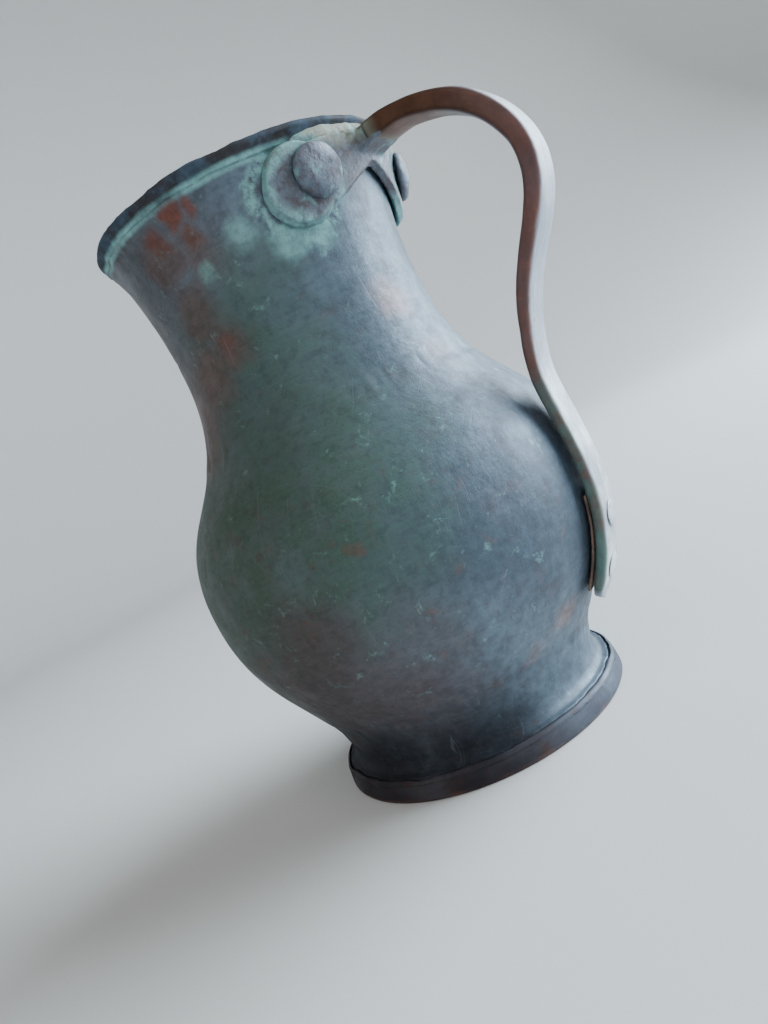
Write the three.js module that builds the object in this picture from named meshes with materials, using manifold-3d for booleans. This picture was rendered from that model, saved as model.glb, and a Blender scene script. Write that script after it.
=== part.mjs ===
// Copper water jug, millimetres, +Z up. The jug stands on z = 0 with its axis on the Z axis,
// and the handle lies in the XZ plane on the +X side.
import * as THREE from "three";
import { mergeVertices } from "three/addons/utils/BufferGeometryUtils.js";
import Module from "manifold-3d";

const wasm = await Module();
wasm.setup();

// Driving dimensions of the vessel
const jugHeight = 238;
const mouthRadius = 63.2;
const rimBandDepth = 6; // the sheet is folded over along the rim
const rimBandStep = 0.8; // and stands proud by this much
const lipDepth = 14; // below the rim the neck breaks outward
const lipRadius = 57.6;
const neckDepth = 49.2; // the neck is narrowest this far below the rim
const neckRadius = 52.8;
const bellyHeight = 90.7;
const bellyRadius = 84.6;
const waistHeight = 12;
const waistRadius = 54.3;
const footRadius = 63.6;
const footHeight = 9.2;
const wallThickness = 1.5;
const baseThickness = 1.2;
const rimCorner = 1.2; // height of the rounded corner of the rim
const rimCrown = 0.9; // in from the mouth radius to the top of the rim
const rimFold = 2.1; // and to the inner edge of the fold
const hemLean = 0.8; // the turned-up edge of the base draws in by this much
const hemInside = 1; // inner radius of the bend at its top
const hemClosedBy = THREE.MathUtils.degToRad(62);

// Driving dimensions of the handle and what holds it
const handleWidth = 18;
const rootThickness = 6.6;
const crownThickness = 8;
const tailThickness = 5;
const handleReach = 33.8; // outermost face, beyond the belly
const rootDepth = 9; // middle of the root of the handle, below the rim
const lugLength = 13.6; // from the neck out to the root
const landingHeight = 104; // below this the handle lies along the belly
const tailEnd = 41;
const padFoot = 44;
const padTop = 79;
const padThickness = 1.2;
const earDepth = 19.5; // middle of the ears, below the rim
const earRadius = 12.7;
const earThickness = 3.6;
const earAngle = THREE.MathUtils.degToRad(35);
const bracketRivetAngle = THREE.MathUtils.degToRad(29);
const bracketRivetDepth = 16.6; // below the rim
const bracketRivetHead = 9.2; // head radius
const bracketRivetRise = 5;
const bracketRivetLift = 1.2; // the rim of the head stands clear of the ear by this much
const bracketShank = 3.2;
const upperTailRivet = 70;
const lowerTailRivet = 52.5;
const tailRivetHead = 4.8;
const tailRivetRise = 0.7;
const tailShank = 2.4;
const barEdge = 1.5; // rounding along the edges of the handle
const lugEdge = 1.2; // and of the lug
const lugDrop = 3.4; // the lug deepens by this much at the neck
const lugTaper = 1.2; // and by this much part of the way out
const bendStart = { rise: 23, clear: 7.6 }; // the handle nears the belly, above the landing
const bendEnd = { rise: 12, clear: 2.4 };
const padMargin = 2; // the pad is narrower than the handle, at each side
const notchRise = 3; // top of the notch between the ears, above their middle
const notchWidth = 3; // at its top
const notchFoot = { inset: 8, drop: 9 }; // where the notch meets the ears
const bridgeDip = 1.5; // from the top of an ear down to the bridge
const bracketPeen = 6; // radius of the closed-over end inside the wall
const tailPeen = 4.4;
const peenDepth = 1.6;

const joinGap = 0.3; // between two pieces that touch
const boreLength = 40; // longer than whatever it goes through
const wellPast = 200; // outside everything
const turns = 48; // facets round the axis
const upAxis = new THREE.Vector3(0, 1, 0);

// What follows from them
const neckHeight = jugHeight - neckDepth;
const lipHeight = jugHeight - lipDepth;
const bandHeight = jugHeight - rimBandDepth;
const bandRadius = THREE.MathUtils.lerp(lipRadius, mouthRadius, (lipDepth - rimBandDepth) / lipDepth);
const earHeight = jugHeight - earDepth;
const rootHeight = jugHeight - rootDepth;
const lugReach = bandRadius + lugLength;

const mix = THREE.MathUtils.lerp;
const at = (radius, height) => new THREE.Vector2(radius, height);

// A closed geometry as a solid for cutting and joining
function toSolid(geometry) {
  const bare = geometry.clone();
  bare.deleteAttribute("normal");
  bare.deleteAttribute("uv");
  const merged = mergeVertices(bare, 1e-4);
  const corners = [];
  for (let i = 0; i < merged.index.count; i += 3) {
    const [a, b, c] = [0, 1, 2].map((k) => merged.index.getX(i + k));
    if (a !== b && b !== c && c !== a) corners.push(a, b, c);
  }
  const mesh = new wasm.Mesh({
    numProp: 3,
    vertProperties: new Float32Array(merged.attributes.position.array),
    triVerts: new Uint32Array(corners),
  });
  return new wasm.Manifold(mesh);
}

function toGeometry(solid) {
  const mesh = solid.getMesh();
  const geometry = new THREE.BufferGeometry();
  geometry.setAttribute("position", new THREE.BufferAttribute(mesh.vertProperties, 3));
  geometry.setIndex(new THREE.BufferAttribute(mesh.triVerts, 1));
  geometry.computeVertexNormals();
  return geometry;
}

// Turns an outline of (radius, height) points round the Z axis
function turned(outline, facets = turns) {
  const geometry = new THREE.LatheGeometry([...outline, outline[0]], facets);
  geometry.rotateX(Math.PI / 2);
  return toSolid(geometry);
}

// Turned on the local Y axis, for rivets and cutters that are set along a direction
function spindle(outline, facets = 20) {
  return new THREE.LatheGeometry(outline, facets);
}

function setAlong(object, place, direction) {
  object.position.copy(place);
  object.quaternion.setFromUnitVectors(upAxis, direction);
  return object;
}

function solidAlong(geometry, place, direction) {
  const mesh = setAlong(new THREE.Mesh(geometry), place, direction);
  mesh.updateMatrix();
  return toSolid(geometry.applyMatrix4(mesh.matrix));
}

function roundBar(radius, length, place, direction) {
  return solidAlong(new THREE.CylinderGeometry(radius, radius, length, 24), place, direction);
}

// Takes a hole of one radius out of a solid at each spot, square to the wall
function bored(solid, radius, spots) {
  return spots.reduce(
    (left, spot) => left.subtract(roundBar(radius + joinGap, boreLength, spot.place, spot.direction)),
    solid,
  );
}

// Shifts an open line sideways: to the right of its run when the distance is positive
function shifted(line, distance) {
  return line.map((point, i) => {
    const before = line[Math.max(i - 1, 0)];
    const after = line[Math.min(i + 1, line.length - 1)];
    const run = after.clone().sub(before).normalize();
    return at(point.x + run.y * distance, point.y - run.x * distance);
  });
}

// A side outline in the XZ plane, given width across Y and rounded along its edges
function barFromSide(outline, width, edge) {
  const geometry = new THREE.ExtrudeGeometry(new THREE.Shape(outline), {
    depth: width - 2 * edge,
    bevelThickness: edge,
    bevelSize: edge,
    bevelOffset: -edge,
    bevelSegments: 2,
    steps: 1,
  });
  geometry.translate(0, 0, edge - width / 2);
  geometry.rotateX(Math.PI / 2);
  return toSolid(geometry);
}

// An outline in the YZ plane, pushed through along X from one distance to another
function prismAlongX(outline, from, to) {
  const geometry = new THREE.ExtrudeGeometry(new THREE.Shape(outline), {
    depth: to - from,
    bevelEnabled: false,
    curveSegments: 24,
  });
  geometry.translate(0, 0, from);
  geometry.applyMatrix4(new THREE.Matrix4().set(0, 0, 1, 0, 1, 0, 0, 0, 0, 1, 0, 0, 0, 0, 0, 1));
  return toSolid(geometry);
}

// ---- the line of the vessel's outer face, from the waist up to the rim band
const lowerBelly = new THREE.CubicBezierCurve(
  at(waistRadius, waistHeight),
  at(mix(waistRadius, bellyRadius, 0.3), mix(waistHeight, bellyHeight, 0.39)),
  at(bellyRadius, mix(waistHeight, bellyHeight, 0.49)),
  at(bellyRadius, bellyHeight),
);
const shoulder = new THREE.CubicBezierCurve(
  at(bellyRadius, bellyHeight),
  at(bellyRadius, mix(bellyHeight, neckHeight, 0.5)),
  at(neckRadius, mix(bellyHeight, neckHeight, 0.36)),
  at(neckRadius, neckHeight),
);
const throat = new THREE.CubicBezierCurve(
  at(neckRadius, neckHeight),
  at(neckRadius, mix(neckHeight, lipHeight, 0.35)),
  at(mix(neckRadius, lipRadius, 0.44), mix(neckHeight, lipHeight, 0.69)),
  at(lipRadius, lipHeight),
);
const wallLine = [
  ...lowerBelly.getPoints(8),
  ...shoulder.getPoints(10).slice(1),
  ...throat.getPoints(4).slice(1),
  at(bandRadius, bandHeight),
];

// Outer face of the wall at a height: its radius, and the direction square to it in the XZ plane
function wallAt(height) {
  const i = THREE.MathUtils.clamp(wallLine.findIndex((point) => point.y > height), 1, wallLine.length - 1);
  const [low, high] = [wallLine[i - 1], wallLine[i]];
  const radius = mix(low.x, high.x, (height - low.y) / (high.y - low.y));
  const run = high.clone().sub(low).normalize();
  return { radius, outward: at(run.y, -run.x) };
}

// A place at a height and angle round the jug, and the direction square to the wall there
function onWall(height, angle, offset = 0) {
  const { radius, outward } = wallAt(height);
  const reach = radius + outward.x * offset;
  const lift = height + outward.y * offset;
  const place = new THREE.Vector3(reach * Math.cos(angle), reach * Math.sin(angle), lift);
  const direction = new THREE.Vector3(outward.x * Math.cos(angle), outward.x * Math.sin(angle), outward.y);
  return { place, direction };
}

// ---- foot: the skirt of the body stands inside the turned-up edge of the base plate
const hemBend = baseThickness + hemInside; // outer radius of the edge closed over the skirt
const skirtBend = hemBend - baseThickness - joinGap;
const hemTopRadius = footRadius - hemLean;
const bendCentre = at(hemTopRadius - hemBend, footHeight - hemBend);
const skirtRadius = bendCentre.x + skirtBend;
const skirtFoot = baseThickness + joinGap;
const skirtTop = bendCentre.y + skirtBend;

function arc(centre, radius, from, to, steps) {
  return Array.from({ length: steps + 1 }, (_, i) => {
    const angle = mix(from, to, i / steps);
    return at(centre.x + radius * Math.cos(angle), centre.y + radius * Math.sin(angle));
  });
}

// Rivets through the ears and through the tail of the handle
const bracketRivets = [
  { name: "bracket_rivet_left", angle: bracketRivetAngle },
  { name: "bracket_rivet_right", angle: -bracketRivetAngle },
];
const tailRivets = [
  { name: "tail_rivet_upper", height: upperTailRivet },
  { name: "tail_rivet_lower", height: lowerTailRivet },
];
const bracketSpots = bracketRivets.map(({ angle }) => onWall(jugHeight - bracketRivetDepth, angle));
const tailSpots = tailRivets.map(({ height }) => onWall(height, 0));

function buildBody() {
  const flare = new THREE.QuadraticBezierCurve(
    at(bendCentre.x, skirtTop),
    at(waistRadius + 0.6, skirtTop + 0.2),
    at(waistRadius, waistHeight),
  );
  const skirt = [at(skirtRadius, skirtFoot), ...arc(bendCentre, skirtBend, 0, Math.PI / 2, 3).slice(0, -1)];
  const rise = [...flare.getPoints(4).slice(0, -1), ...wallLine];
  const band = [
    at(bandRadius + rimBandStep, bandHeight + 0.3),
    at(mouthRadius, jugHeight - rimCorner),
    at(mouthRadius - rimCrown, jugHeight),
    at(mouthRadius - rimFold, jugHeight - 0.2),
  ];
  const inner = shifted(rise, -wallThickness).slice(1).reverse();
  inner.push(at(skirtRadius - wallThickness, skirtTop - wallThickness));
  inner.push(at(skirtRadius - wallThickness, skirtFoot));
  const wall = turned([...skirt, ...rise, ...band, ...inner]);
  return bored(bored(wall, bracketShank, bracketSpots), tailShank, tailSpots);
}

function buildBasePlate() {
  const corner = 1;
  const outline = [
    at(0, 0),
    at(footRadius - corner, 0),
    at(footRadius, corner),
    ...arc(bendCentre, hemBend, 0, hemClosedBy, 4),
    ...arc(bendCentre, hemInside, hemClosedBy, 0, 4),
    at(footRadius - baseThickness - 0.1, baseThickness + 0.6),
    at(footRadius - baseThickness - 0.7, baseThickness),
    at(0, baseThickness),
  ];
  return turned(outline);
}

// ---- handle: its middle line in the XZ plane, from the lug to the tail
const padOffset = joinGap; // pad face above the belly
const tailOffset = padOffset + padThickness + joinGap; // handle face above the belly

function beside(height, offset) {
  const { radius, outward } = wallAt(height);
  return at(radius + outward.x * offset, height + outward.y * offset);
}

const reachMiddle = bellyRadius + handleReach - crownThickness / 2;
const handleFree = [
  [0, 1],
  [0.215, 0.996],
  [0.7, 0.922],
  [0.985, 0.772],
  [0.945, 0.626],
  [0.54, 0.401],
].map(([out, up]) => at(mix(lugReach + joinGap, reachMiddle, out), mix(landingHeight, rootHeight, up)));
const laidStand = tailOffset + tailThickness / 2;
const handleLanding = [bendStart, bendEnd].map(({ rise, clear }) =>
  at(wallAt(landingHeight + rise).radius + laidStand + clear, landingHeight + rise),
);
const laidSteps = 5;
const handleLaid = Array.from({ length: laidSteps + 1 }, (_, i) =>
  beside(mix(landingHeight, tailEnd, i / laidSteps), laidStand),
);
const handleLine = new THREE.SplineCurve([...handleFree, ...handleLanding, ...handleLaid]);

// Thickest at the crown, thinned toward the root and hammered out along the tail
function handleThicknessAt(share) {
  const swollen = mix(rootThickness, crownThickness, THREE.MathUtils.smoothstep(share, 0, 0.18));
  return mix(swollen, tailThickness, THREE.MathUtils.smoothstep(share, 0.2, 0.6));
}

function buildHandle() {
  const middle = handleLine.getSpacedPoints(44);
  const last = middle.length - 1;
  const half = (i) => handleThicknessAt(i / last) / 2;
  const side = (sign) => {
    const near = shifted(middle, sign);
    return middle.map((point, i) => point.clone().lerp(near[i], half(i)));
  };
  const bar = barFromSide([...side(-1), ...side(1).reverse()], handleWidth, barEdge);
  const plan = new THREE.Shape();
  plan.moveTo(-handleWidth, jugHeight);
  plan.lineTo(-handleWidth, tailEnd + handleWidth / 2);
  plan.lineTo(-handleWidth / 2, tailEnd + handleWidth / 2);
  plan.absellipse(0, tailEnd + handleWidth / 2, handleWidth / 2, handleWidth / 2, Math.PI, 2 * Math.PI);
  plan.lineTo(handleWidth, tailEnd + handleWidth / 2);
  plan.lineTo(handleWidth, jugHeight);
  const rounded = bar.intersect(prismAlongX(plan.getPoints(16), 0, wellPast));
  return bored(rounded, tailShank, tailSpots);
}

function buildTailPad() {
  const steps = 6;
  const heights = Array.from({ length: steps + 1 }, (_, i) => mix(padFoot, padTop, i / steps));
  const under = heights.map((height) => beside(height, padOffset));
  const over = heights.map((height) => beside(height, padOffset + padThickness)).reverse();
  const pad = barFromSide([...under, ...over], handleWidth - 2 * padMargin, padThickness / 3);
  return bored(pad, tailShank, tailSpots);
}

// ---- two-eared saddle round the neck, with the lug that carries the handle
const saddleLow = earHeight - earRadius - 2;
const saddleHigh = bandHeight - joinGap;

// Everything inside a face that lies over the neck at an offset, in the reach of the saddle
function filledTo(offset) {
  const steps = 8;
  const heights = Array.from({ length: steps + 1 }, (_, i) => mix(saddleLow, saddleHigh, i / steps));
  const face = heights.map((height) => beside(height, offset));
  const above = at(face[steps].x + joinGap, bandHeight + 1);
  return turned([at(0, saddleLow - 1), at(face[0].x, saddleLow - 1), ...face, above, at(0, above.y)]);
}

function buildBracket() {
  const cover = filledTo(joinGap + earThickness);
  const core = filledTo(joinGap);

  const ears = [earAngle, -earAngle].map((angle) => {
    const { place, direction } = onWall(earHeight, angle);
    const level = new THREE.Vector3(direction.x, direction.y, 0).normalize();
    return roundBar(earRadius, boreLength, place, level);
  });
  const earReach = wallAt(earHeight).radius * Math.sin(earAngle);
  const half = [
    at(notchWidth / 2, earHeight + notchRise),
    at(earReach - notchFoot.inset, earHeight - notchFoot.drop),
    at(earReach, earHeight + earRadius - bridgeDip),
    at(handleWidth / 2, saddleHigh),
  ];
  const otherHalf = half.map((point) => at(-point.x, point.y)).reverse();
  const plan = ears.reduce((left, ear) => left.add(ear), prismAlongX([...half, ...otherHalf], 0, wellPast));
  const lugFoot = rootHeight - rootThickness / 2;
  const lugTop = rootHeight + rootThickness / 2;
  const lug = barFromSide(
    [
      at(neckRadius, lugFoot - lugDrop),
      at(mix(lugReach, neckRadius, 0.4), lugFoot - lugTaper),
      at(lugReach, lugFoot),
      at(lugReach, lugTop),
      at(mix(lugReach, neckRadius, 0.28), saddleHigh),
      at(neckRadius, saddleHigh),
    ],
    handleWidth,
    lugEdge,
  );
  return bored(cover.intersect(plan).add(lug).subtract(core), bracketShank, bracketSpots);
}

const seatShare = 0.55; // of a rivet head's radius, bearing on the piece under it
const headEdge = 0.5; // height of the upright edge of a rivet head

// A rivet on its own Y axis: domed head outside, shank, and the end closed over inside the wall.
// Height 0 is the outer face of the wall. The rim of the head is lifted clear of what it holds.
function rivetGeometry({ shank, head, rise, stand, lift, peen, setBack }) {
  const under = -wallThickness - setBack;
  const edge = stand + lift + headEdge;
  const dome = Array.from({ length: 5 }, (_, i) => {
    const angle = (i / 4) * (Math.PI / 2);
    return at(head * Math.cos(angle), mix(edge, stand + rise, Math.sin(angle)));
  });
  return spindle([
    at(0, under - peenDepth),
    at(peen * 0.7, under - peenDepth + 0.2),
    at(peen, under - peenDepth + 1.1),
    at(peen, under),
    at(shank, under),
    at(shank, stand),
    at(head * seatShare, stand),
    at(head, stand + lift),
    ...dome.slice(0, -1),
    at(0, stand + rise),
  ]);
}

const copper = { color: 0x5d7078, roughness: 0.55, metalness: 0.7 };
const materials = {
  vessel: new THREE.MeshStandardMaterial({ ...copper, side: THREE.DoubleSide }),
  base: new THREE.MeshStandardMaterial({ ...copper, color: 0x3f464d }),
  bar: new THREE.MeshStandardMaterial({ color: 0x6b4238, roughness: 0.45, metalness: 0.75 }),
  bracket: new THREE.MeshStandardMaterial({ ...copper, color: 0x66786f }),
  rivet: new THREE.MeshStandardMaterial({ ...copper, color: 0x6a7780 }),
  pad: new THREE.MeshStandardMaterial({ color: 0x7a5a48, roughness: 0.6, metalness: 0.6 }),
};

const jug = new THREE.Group();

function addPiece(name, geometry, material) {
  const mesh = new THREE.Mesh(geometry, material);
  mesh.name = name;
  jug.add(mesh);
  return mesh;
}

addPiece("body", toGeometry(buildBody()), materials.vessel);
addPiece("base_plate", toGeometry(buildBasePlate()), materials.base);
addPiece("handle", toGeometry(buildHandle()), materials.bar);
addPiece("handle_bracket", toGeometry(buildBracket()), materials.bracket);
addPiece("tail_pad", toGeometry(buildTailPad()), materials.pad);

bracketRivets.forEach(({ name }, i) => {
  const shape = {
    shank: bracketShank,
    head: bracketRivetHead,
    rise: bracketRivetRise,
    stand: earThickness + 2 * joinGap,
    lift: bracketRivetLift,
    peen: bracketPeen,
    setBack: 0.8,
  };
  const { place, direction } = bracketSpots[i];
  const whole = solidAlong(rivetGeometry(shape), place, direction);
  const inward = wallThickness + shape.setBack + peenDepth / 2;
  const outward = shape.stand + headEdge;
  const halfway = place.clone().addScaledVector(direction, (outward - inward) / 2);
  const shank = roundBar(bracketShank, outward + inward, halfway, direction);
  const behind = place.clone().addScaledVector(direction, -boreLength / 2);
  const innerEnd = roundBar(bracketRivetHead, boreLength, behind, direction);
  const peened = whole.intersect(innerEnd).intersect(filledTo(-wallThickness - joinGap));
  const head = whole.subtract(filledTo(earThickness + 2 * joinGap));
  addPiece(name, toGeometry(head.add(shank).add(peened)), materials.rivet);
});

tailRivets.forEach(({ name }, i) => {
  const shape = {
    shank: tailShank,
    head: tailRivetHead,
    rise: tailRivetRise,
    stand: tailOffset + tailThickness + joinGap,
    lift: 0,
    peen: tailPeen,
    setBack: 0.6,
  };
  const { place, direction } = tailSpots[i];
  setAlong(addPiece(name, toGeometry(toSolid(rivetGeometry(shape))), materials.bar), place, direction);
});

export default jug;
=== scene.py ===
import bmesh
import bpy
import math
from mathutils import Matrix, Vector, noise


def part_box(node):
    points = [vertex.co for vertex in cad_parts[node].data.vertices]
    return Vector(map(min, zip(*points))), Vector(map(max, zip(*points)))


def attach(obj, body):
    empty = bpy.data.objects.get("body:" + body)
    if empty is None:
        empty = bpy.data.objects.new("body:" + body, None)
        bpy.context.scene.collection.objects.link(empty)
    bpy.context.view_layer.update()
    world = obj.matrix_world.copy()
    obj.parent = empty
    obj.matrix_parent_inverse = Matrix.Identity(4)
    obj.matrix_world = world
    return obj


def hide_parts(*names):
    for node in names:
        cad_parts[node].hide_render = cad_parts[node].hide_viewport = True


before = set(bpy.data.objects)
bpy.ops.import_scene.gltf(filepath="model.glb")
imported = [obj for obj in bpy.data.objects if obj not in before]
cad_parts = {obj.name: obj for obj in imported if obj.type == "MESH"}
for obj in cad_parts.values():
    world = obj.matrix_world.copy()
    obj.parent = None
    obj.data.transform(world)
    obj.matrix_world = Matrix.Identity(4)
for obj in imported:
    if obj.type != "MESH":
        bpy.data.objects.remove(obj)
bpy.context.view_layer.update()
mm = 0.001
print("frame loaded:", sorted(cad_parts))


# ---- small helpers for meshes

def cubic(a, b, c, d, count):
    line = []
    for i in range(count + 1):
        t = i / count
        s = 1 - t
        line.append(a * s ** 3 + b * 3 * s * s * t + c * 3 * s * t * t + d * t ** 3)
    return line


def at(radius, height):
    return Vector((radius, 0, height))


def mix(a, b, share):
    return a + (b - a) * share


def smoothStep(low, high, value):
    t = min(max((value - low) / (high - low), 0), 1)
    return t * t * (3 - 2 * t)


def ringOf(bm, points):  # a closed outline as edges, ready to spin or extrude
    verts = [bm.verts.new(p) for p in points]
    edges = [bm.edges.new((verts[i], verts[(i + 1) % len(verts)])) for i in range(len(verts))]
    return verts, edges


def spunRing(points, steps):
    bm = bmesh.new()
    verts, edges = ringOf(bm, points)
    bmesh.ops.spin(bm, geom=verts + edges, cent=(0, 0, 0), axis=(0, 0, 1), angle=2 * math.pi,
                   steps=steps, use_merge=True)
    bmesh.ops.remove_doubles(bm, verts=bm.verts, dist=1e-6)
    bmesh.ops.recalc_face_normals(bm, faces=bm.faces)
    return bm


def spunLine(points, steps, weld=1e-6):  # an open outline turned about the axis
    bm = bmesh.new()
    verts = [bm.verts.new(p) for p in points]
    edges = [bm.edges.new(pair) for pair in zip(verts, verts[1:])]
    bmesh.ops.spin(bm, geom=verts + edges, cent=(0, 0, 0), axis=(0, 0, 1), angle=2 * math.pi,
                   steps=steps, use_merge=True)
    bmesh.ops.remove_doubles(bm, verts=bm.verts, dist=weld)
    return bm


def flatPart(place):  # a place without its height
    return Vector((place.x, place.y, 0))


def sweep(bm, sides, count, spotAt):  # a tube; spotAt(i, c, w) places point (c, w) of a unit circle
    order = bmesh.ops.create_circle(bm, segments=sides, radius=1, cap_ends=False)["verts"]
    edges = list({edge for vert in order for edge in vert.link_edges})
    shape = [(vert.co.x, vert.co.y) for vert in order]
    for vert, (c, w) in zip(order, shape):
        vert.co = spotAt(0, c, w)
    for i in range(1, count):
        grown = bmesh.ops.extrude_edge_only(bm, edges=edges)["geom"]
        edges = [g for g in grown if isinstance(g, bmesh.types.BMEdge)]
        before = {tuple(round(x, 7) for x in vert.co): k for k, vert in enumerate(order)}
        order = sorted((g for g in grown if isinstance(g, bmesh.types.BMVert)),
                       key=lambda vert: before[tuple(round(x, 7) for x in vert.co)])
        for vert, (c, w) in zip(order, shape):
            vert.co = spotAt(i, c, w)
    bmesh.ops.holes_fill(bm, edges=[e for e in bm.edges if e.is_boundary])
    bmesh.ops.recalc_face_normals(bm, faces=bm.faces)


def hammerMark(place, size, depth):  # shallow overlapping blows, higher where they meet
    near = noise.voronoi(place / size)[0]
    return depth * (near[0] - 0.45)


def shiftAll(bm, howFar):  # moves every vertex by what howFar(vertex) gives, all at once
    moves = [howFar(vert) for vert in bm.verts]
    for vert, move in zip(bm.verts, moves):
        vert.co += move


def addPiece(name, bm, finishes, slotName, *nodes):
    mesh = bpy.data.meshes.new(name)
    bm.to_mesh(mesh)
    bm.free()
    for finish in finishes:
        mesh.materials.append(finish)
    mesh.shade_smooth()
    piece = bpy.data.objects.new(name, mesh)
    bpy.context.scene.collection.objects.link(piece)
    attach(piece, "root")
    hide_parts(*nodes)
    print(f"{name}: {len(mesh.vertices)} vertices")
    return piece


# ---- small helpers for finishes

def newFinish(name):
    finish = bpy.data.materials.new(name)
    finish.use_nodes = True
    tree = finish.node_tree
    where = tree.nodes.new("ShaderNodeTexCoord").outputs["Object"]
    return finish, tree, tree.nodes["Principled BSDF"], where


def feed(tree, socket, value):
    if isinstance(value, bpy.types.NodeSocket):
        tree.links.new(value, socket)
    else:
        socket.default_value = value


def stretched(tree, where, scale, turn=(0, 0, 0)):
    mapping = tree.nodes.new("ShaderNodeMapping")
    mapping.inputs["Scale"].default_value = scale
    mapping.inputs["Rotation"].default_value = turn
    tree.links.new(where, mapping.inputs["Vector"])
    return mapping.outputs["Vector"]


def cloud(tree, where, scale, detail=4.0, roughness=0.55, distortion=0.0):
    texture = tree.nodes.new("ShaderNodeTexNoise")
    texture.inputs["Scale"].default_value = scale
    texture.inputs["Detail"].default_value = detail
    texture.inputs["Roughness"].default_value = roughness
    texture.inputs["Distortion"].default_value = distortion
    tree.links.new(where, texture.inputs["Vector"])
    return texture.outputs["Fac"]


def cells(tree, where, scale):
    texture = tree.nodes.new("ShaderNodeTexVoronoi")
    texture.feature = "SMOOTH_F1"
    texture.inputs["Scale"].default_value = scale
    tree.links.new(where, texture.inputs["Vector"])
    return texture.outputs["Distance"]


def between(tree, value, low, high, start=0.0, end=1.0):  # soft step of a value
    ramp = tree.nodes.new("ShaderNodeMapRange")
    ramp.interpolation_type = "SMOOTHSTEP"
    feed(tree, ramp.inputs["Value"], value)
    for name, number in (("From Min", low), ("From Max", high), ("To Min", start), ("To Max", end)):
        ramp.inputs[name].default_value = number
    return ramp.outputs["Result"]


def sums(tree, kind, a, b):
    step = tree.nodes.new("ShaderNodeMath")
    step.operation = kind
    feed(tree, step.inputs[0], a)
    feed(tree, step.inputs[1], b)
    return step.outputs[0]


def overlay(tree, amount, under, over, blend="MIX"):
    layer = tree.nodes.new("ShaderNodeMix")
    layer.data_type = "RGBA"
    layer.blend_type = blend
    feed(tree, layer.inputs[0], amount)
    feed(tree, layer.inputs[6], under)
    feed(tree, layer.inputs[7], over)
    return layer.outputs[2]


def wandering(tree, where, scale, reach):  # coordinates pushed about, so that patches get ragged edges
    texture = tree.nodes.new("ShaderNodeTexNoise")
    texture.inputs["Scale"].default_value = scale
    texture.inputs["Detail"].default_value = 5
    tree.links.new(where, texture.inputs["Vector"])
    centred = tree.nodes.new("ShaderNodeVectorMath")
    centred.operation = "SUBTRACT"
    tree.links.new(texture.outputs["Color"], centred.inputs[0])
    centred.inputs[1].default_value = (0.5, 0.5, 0.5)
    scaled = tree.nodes.new("ShaderNodeVectorMath")
    scaled.operation = "SCALE"
    tree.links.new(centred.outputs[0], scaled.inputs[0])
    scaled.inputs["Scale"].default_value = reach
    pushed = tree.nodes.new("ShaderNodeVectorMath")
    tree.links.new(where, pushed.inputs[0])
    tree.links.new(scaled.outputs[0], pushed.inputs[1])
    return pushed.outputs[0]


def times(tree, a, b):
    return sums(tree, "MULTIPLY", a, b)


def strongest(tree, values):
    total = values[0]
    for value in values[1:]:
        total = sums(tree, "MAXIMUM", total, value)
    return total


def coats(tree, color, layers):  # each layer is (how much, colour), laid over the ones before
    for amount, coat in layers:
        color = overlay(tree, amount, color, coat)
    return color


def axes(tree, where):  # the sockets "X", "Y" and "Z" of a place
    parts = tree.nodes.new("ShaderNodeSeparateXYZ")
    tree.links.new(where, parts.inputs[0])
    return parts.outputs


def radiusOf(tree, where):  # distance from the axis of the jug
    length = tree.nodes.new("ShaderNodeVectorMath")
    length.operation = "LENGTH"
    tree.links.new(stretched(tree, where, (1, 1, 0)), length.inputs[0])
    return length.outputs["Value"]


def distanceTo(tree, where, place):
    gap = tree.nodes.new("ShaderNodeVectorMath")
    gap.operation = "DISTANCE"
    tree.links.new(where, gap.inputs[0])
    gap.inputs[1].default_value = place
    return gap.outputs["Value"]


patchFade = (0.35, 1.25)  # where a patch starts and ends to fade, in shares of its radius
lightSide = (0.85, 0.53, 0)  # the direction towards the light, in which the painted shade lifts


def patches(tree, where, places):  # places are (x, y, z, radius, strength) in millimetres
    spots = []
    for x, y, z, radius, strength in places:
        gap = distanceTo(tree, where, (x * mm, y * mm, z * mm))
        inner, outer = (share * radius * mm for share in patchFade)
        spots.append(between(tree, gap, inner, outer, strength, 0))
    return strongest(tree, spots)


def paintedShade(tree, where, low, high):  # painted shade: 1 on the side away from the handle and the light, 0 towards it
    along = tree.nodes.new("ShaderNodeVectorMath")
    along.operation = "DOT_PRODUCT"
    tree.links.new(where, along.inputs[0])
    along.inputs[1].default_value = lightSide
    return between(tree, along.outputs["Value"], low, high, 1, 0)


def roundEars(tree, where, start, full, end):  # rings about both ears of the saddle, in millimetres
    rings = []
    for side in (1, -1):
        gap = distanceTo(tree, where, onWall(rim - saddle["earDepth"], side * saddle["earAngle"])[0])
        rings.append(times(tree, between(tree, gap, start * mm, full * mm),
                           between(tree, gap, full * mm, end * mm, 1, 0)))
    return strongest(tree, rings)


def relief(tree, shader, layers):  # each layer is (height socket, distance in metres)
    normal = None
    for height, distance in layers:
        bump = tree.nodes.new("ShaderNodeBump")
        bump.inputs["Strength"].default_value = 1
        bump.inputs["Distance"].default_value = distance
        tree.links.new(height, bump.inputs["Height"])
        if normal:
            tree.links.new(normal, bump.inputs["Normal"])
        normal = bump.outputs["Normal"]
    tree.links.new(normal, shader.inputs["Normal"])


# ---- the vessel, and the base with its edge closed over the foot

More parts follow.
